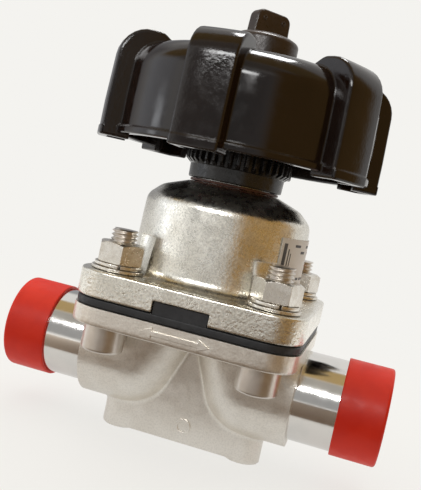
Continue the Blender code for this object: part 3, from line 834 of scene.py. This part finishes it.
def make_wheel():
    top = [(0, WHEEL_HIGH), (12.0, WHEEL_HIGH, 1.2), (13.6, VALLEY_TOP, 1.2)]
    wall = [(VALLEY_R - 0.6, VALLEY_TOP, CROWN), (VALLEY_R, 106.0), (VALLEY_R, LIP_Z + 2.3, 0.25)]
    lip = [(VALLEY_R + 0.8, LIP_Z + 2.0, 0.3), (VALLEY_R + 0.8, LIP_Z, 0.3), (0, LIP_Z)]
    wheel = turned("wheel_shell", top + wall + lip, 192)
    turns = [(0, 0, FIRST_LOBE + math.tau * i / LOBES - math.pi / 2) for i in range(LOBES)]
    loops = lobe_loops()
    join(wheel, *[loft(f"lobe_{i}", loops, turn=turn) for i, turn in enumerate(turns)])
    low, inside = WHEEL_LOW - 1, VALLEY_R - 3
    cup = [(0, CEILING), (30.0, CEILING), (35.6, CEILING - 5)]
    cup += [(inside, 108), (inside, low), (0, low)]
    pocket = [(34.0, 116.0), (37.0, 118.0), (41.8, 113.5), (43.6, 104), (43.6, low), (34.0, low)]
    pockets = []
    for i, turn in enumerate(turns):
        pockets.append(slab(f"pocket_{i}", pocket, -4.7, 4.7, plane="XZ", turn=turn))
    cut(wheel, turned("cup", cup, 128), *pockets)
    hub = turned("hub", [(0, 115.8), (9.6, 115.8), (9.6, 102.8, 0.6), (0, 102.8)], 64)
    rib = [(8.1, 104.8), (38.6, 106), (38.6, 119), (34, 122), (13.5, 122), (13.5, 115.8)]
    rib.append((8.1, 115.8))
    ribs = [slab(f"rib_{i}", rib, -1.1, 1.1, 0.2, "XZ", turn=turn) for i, turn in enumerate(turns)]
    join(hub, *ribs)
    posts, threads = [], []
    for sign in (-1, 1):
        along = Matrix.Rotation(PAWL_TURN - math.pi / 2, 3, "Z")
        spot = along @ Vector((POST_X, sign * POST_Y, 0))
        posts.append(drum(f"post_{sign}", 2, 117.5, 122, at=spot))
        threads.append(drum(f"post_thread_{sign}", 1.1, 117, 121.5, 24, at=spot))
    join(wheel, hub, *posts)
    hub_bore = drum("hub_bore", 7.9, 101.8, 116.8, 48)
    knob_bore = drum("knob_bore", 4.9, 120, 130.2, 48)
    cut(wheel, hub_bore, knob_bore, *threads)
    dress(wheel, WHEEL, "handwheel", "wheel_plastic", "handwheel", sharp=32)


KNOB_R, KNOB_STEM_R = 10.8, 4.6
WING_TURN = math.radians(44)
WING_HALF, WING_THICK = 6.7, 5.0
WING_HIGH = 7.8


def make_knob():
    low, high = (corner.z for corner in span("lock_knob"))
    base, foot = high - WING_HIGH, WHEEL_HIGH + 0.25
    disc = [(0, base), (8.4, base, 1.5), (KNOB_R, base - 1.2, 1.6), (KNOB_R, foot, 0.3)]
    disc += [(KNOB_STEM_R, foot), (KNOB_STEM_R, low), (0, low)]
    knob = turned("knob_disc", disc, 96)
    wing = [(-WING_HALF, base - 1), (-6.3, high, 2.6), (6.3, high, 2.6), (WING_HALF, base - 1)]
    half = WING_THICK / 2
    blade = slab("knob_wing", rounded(wing), -half, half, 0.7, "XZ", turn=(0, 0, WING_TURN))
    marks = []
    for u in (-3.6, 3.6):
        ring = [(0.75, 2.65, 0.08), (0.75, 2.0), (0.4, 2.0), (0.4, 2.65, 0.08)]
        mark = turned(f"knob_mark_{u:.0f}", ring, 24, turn=(math.pi / 2, 0, 0))
        place = Matrix.Translation(Vector((u, 0, high - 2.6)) * MM)
        mark.data.transform(Matrix.Rotation(WING_TURN, 4, "Z") @ place)
        marks.append(mark)
    join(knob, blade, *marks)
    dress(knob, KNOB, "lock_knob", "black_plastic", "lock_knob")


# ---------------------------------------------------------------- label
LABEL_R = 27.4


def patch(name, r, thick, start, end, low, high):
    """A curved rectangle round the stem, between two angles from -Y towards +X."""
    turns = [math.radians(start + (end - start) * i / 24 - 90) for i in range(25)]
    outline = [((r + thick) * math.cos(t), (r + thick) * math.sin(t)) for t in turns]
    outline += [(r * math.cos(t), r * math.sin(t)) for t in reversed(turns)]
    return slab(name, outline, low, high)


def make_label():
    low, high = (corner.z for corner in span("label_plate"))
    face = patch("label_film", LABEL_R, 0.2, 52, 108, low, high)
    dress(face, PAPER, "valve", "label_white", "label_plate")
    # Each bar's two angles and two heights: three upright ones, then two rows.
    bars = [
        (54.5, 57.5, low + 3.5, high - 1.6),
        (59.2, 60.2, low + 6, high - 3.2),
        (61.6, 62.4, low + 5, high - 4.5),
    ]
    for i in range(4):
        top = high - 1.6 - 1.9 * (i % 2)
        bars.append((66 + 9 * i, 73 + 9 * i, top - 0.8, top))
    bars += [(68 + 7 * i, 72.5 + 7 * i, low + 2.2, low + 3.0) for i in range(5)]
    for i, bar in enumerate(bars):
        made = patch(f"label_bar_{i}", LABEL_R + 0.21, 0.03, *bar)
        dress(made, INK, "valve", "label_white")


# ---------------------------------------------------------------- CAD nodes that stay as they are
def dress_cad():
    kept = {"turned_steel": STEEL, "brass_bush": BRASS, "seal_rubber": SEAL}
    slots = {part["node"]: part["material_slot"] for part in frame["record"]["subparts"]}
    for name, obj in frame["nodes"].items():
        material = kept.get(slots[name])
        if material:
            obj.data.materials.clear()
            obj.data.materials.append(material)
            obj.data.shade_smooth()
            obj.data.set_sharp_from_angle(angle=math.radians(32))


# ---------------------------------------------------------------- camera, light and floor
PALE = (0.905, 0.895, 0.865)


def make_camera():
    yaw, pitch, roll = (math.radians(a) for a in (13.1435, -3.8642, 12.2392))
    data = bpy.data.cameras.new("Camera")
    data.sensor_fit = "HORIZONTAL"
    data.sensor_width = 36
    data.lens = 61.77
    data.clip_start = 0.01
    camera = bpy.data.objects.new("Camera", data)
    SCENE.collection.objects.link(camera)
    place = Matrix.Translation(Vector((50.44, -231.67, 82.03)) * MM)
    for angle, axis in ((yaw, "Z"), (math.pi / 2 + pitch, "X"), (roll, "Z")):
        place = place @ Matrix.Rotation(angle, 4, axis)
    camera.matrix_world = place
    SCENE.camera = camera


def window(tree, value, low, high, soft):
    """1 between low and high, falling to 0 over soft on both sides."""
    above = ramp(tree, value, low - soft, low + soft)
    below = ramp(tree, value, high - soft, high + soft, 1.0, 0.0)
    return maths(tree, "MULTIPLY", above, below)


def make_world():
    """What the surfaces reflect: a pale room, grey in front, windows at the left and warm timber.

    The timber is at the right and overhead. The camera itself sees a plain pale backdrop.
    """
    world = bpy.data.worlds.new("Studio")
    SCENE.world = world
    world.use_nodes = True
    tree = world.node_tree
    tree.nodes.clear()
    x, y, z = split(tree, "Generated")
    front = maths(tree, "MULTIPLY", y, -1.0)
    azimuth = maths(tree, "DEGREES", maths(tree, "ARCTAN2", x, front))
    height = maths(tree, "DEGREES", maths(tree, "ARCTAN2", z, front))
    elevation = maths(tree, "DEGREES", maths(tree, "ARCSINE", z))
    layers = [
        # Colour, azimuths and their softness, which height, and heights and their softness. All
        # are in degrees: height is measured round the X axis from the front, elevation from level.
        ((0.36, 0.36, 0.355), (-64, 30, 14), height, (-1, 30, 2)),
        ((0.42, 0.40, 0.36), (-180, 180, 1), height, (38, 62, 4)),
        ((0.46, 0.33, 0.15), (-180, 180, 1), height, (62, 96, 3)),
        ((1.1, 1.1, 1.08), (-66, -42, 6), elevation, (-14, 24, 5)),
        ((1.02, 1.06, 1.12), (-96, -64, 6), elevation, (-6, 28, 6)),
        ((3.2, 3.3, 3.45), (-76, -68, 2.5), elevation, (-2, 8, 2)),
        ((0.34, 0.34, 0.35), (-170, -104, 8), elevation, (0, 40, 6)),
        ((0.36, 0.22, 0.08), (28, 114, 6), elevation, (-30, 48, 6)),
    ]
    colour = (0.8, 0.79, 0.77)
    for tone, (left, right, soft), rise, (low, high, blur) in layers:
        across = window(tree, azimuth, left, right, soft)
        share = maths(tree, "MULTIPLY", across, window(tree, rise, low, high, blur))
        colour = mix(tree, share, colour, tone)
    reflected = node(tree, "ShaderNodeBackground", {"Color": colour, "Strength": 1.0})
    seen = node(tree, "ShaderNodeBackground", {"Color": (*PALE, 1.0), "Strength": 1.0})
    direct = node(tree, "ShaderNodeLightPath").outputs["Is Camera Ray"]
    mixed = node(tree, "ShaderNodeMixShader", {0: direct, 1: reflected.outputs[0], 2: seen.outputs[0]})
    node(tree, "ShaderNodeOutputWorld", {0: mixed.outputs[0]})


def make_floor():
    """A plain pale sheet, clear from below.

    In reflections it ends just in front of the valve, on a table of painted shade: brown, darker
    towards the right, standing in for shadow and dark reflections on the table. The table is white
    and glowing far out at the front left, so the flanges' front faces stay bright at their left ends.
    """
    bm = bmesh.new()
    bmesh.ops.create_circle(bm, cap_ends=True, radius=420, segments=96)
    floor = solid("floor", bm, at=(0, 0, -0.02))
    material = bpy.data.materials.new("PaleFloor")
    material.use_nodes = True
    tree = material.node_tree
    x, y = split(tree, "Object")[:2]
    reach = reach_of(tree)
    seen = node(tree, "ShaderNodeLightPath").outputs["Is Camera Ray"]
    sheet = maths(tree, "MAXIMUM", seen, ramp(tree, y, -0.041, -0.035))
    # Painted shade: a brown band that only reflections see in front of the valve, darker towards the right.
    painted_shade_tone = mix(tree, ramp(tree, x, -0.15, -0.02), (0.54, 0.47, 0.40), (0.13, 0.085, 0.05))
    painted_shade_share = maths(tree, "MAXIMUM", ramp(tree, y, -0.24, -0.215), ramp(tree, x, -0.11, -0.03))
    lit = maths(tree, "MAXIMUM", sheet, maths(tree, "SUBTRACT", 1.0, painted_shade_share))
    table = mix(tree, painted_shade_share, (0.9, 0.89, 0.86), painted_shade_tone)
    table = mix(tree, sheet, table, (0.86, 0.85, 0.82))
    shader = tree.nodes["Principled BSDF"]
    tree.links.new(table, shader.inputs["Base Color"])
    shader.inputs["Roughness"].default_value = 0.7
    strength = ramp(tree, seen, 0.0, 1.0, ramp(tree, reach, 0.06, 0.25, 0.78, 1.2), 1.0)
    glow = node(tree, "ShaderNodeEmission", {"Color": (*PALE, 1.0), "Strength": strength})
    fade = maths(tree, "MULTIPLY", ramp(tree, reach, 0.1, 0.38, 0.82, 1.0), lit)
    blend = node(tree, "ShaderNodeMixShader", {0: fade, 1: shader.outputs[0], 2: glow.outputs[0]})
    below = node(tree, "ShaderNodeNewGeometry").outputs["Backfacing"]
    clear = node(tree, "ShaderNodeBsdfTransparent")
    sided = node(tree, "ShaderNodeMixShader", {0: below, 1: blend.outputs[0], 2: clear.outputs[0]})
    tree.links.new(sided.outputs[0], tree.nodes["Material Output"].inputs[0])
    floor.data.materials.append(material)


def make_lights():
    on_wheel = bpy.data.collections.new("OverheadReceivers")
    for name in ("wheel_shell", "knob_disc"):
        on_wheel.objects.link(bpy.data.objects[name])
    lamps = {
        # Position, width, height, radiance, colour, and whether it makes reflections or lights
        # matt surfaces.
        "strip": ((-60, -405, 262), 300, 56, 16.0, (1.0, 1.0, 1.0), True),
        "overhead": ((-50, 290, 1050), 360, 300, 20.0, (1.0, 1.0, 1.0), True),
        "ceiling": ((-150, 60, 900), 1300, 1300, 1.6, (0.96, 0.985, 1.0), False),
    }
    for name, (spot, width, height, radiance, colour, shown) in lamps.items():
        data = bpy.data.lights.new(name, "AREA")
        data.shape = "RECTANGLE"
        data.size = width * MM
        data.size_y = height * MM
        data.energy = radiance * math.pi * data.size * data.size_y
        data.color = colour
        lamp = bpy.data.objects.new(name, data)
        SCENE.collection.objects.link(lamp)
        lamp.visible_glossy = shown
        lamp.visible_diffuse = not shown
        lamp.location = Vector(spot) * MM
        lamp.rotation_euler = (Vector((0, 0, 80)) - Vector(spot)).to_track_quat("-Z", "Y").to_euler()
    bpy.data.objects["overhead"].light_linking.receiver_collection = on_wheel


make_body()
make_tubes()
make_rim()
make_middle()
make_bonnet()
make_bolts()
make_neck()
make_wheel()
make_knob()
make_label()
dress_cad()
make_camera()
make_world()
make_floor()
make_lights()
SCENE.view_settings.view_transform = "Standard"
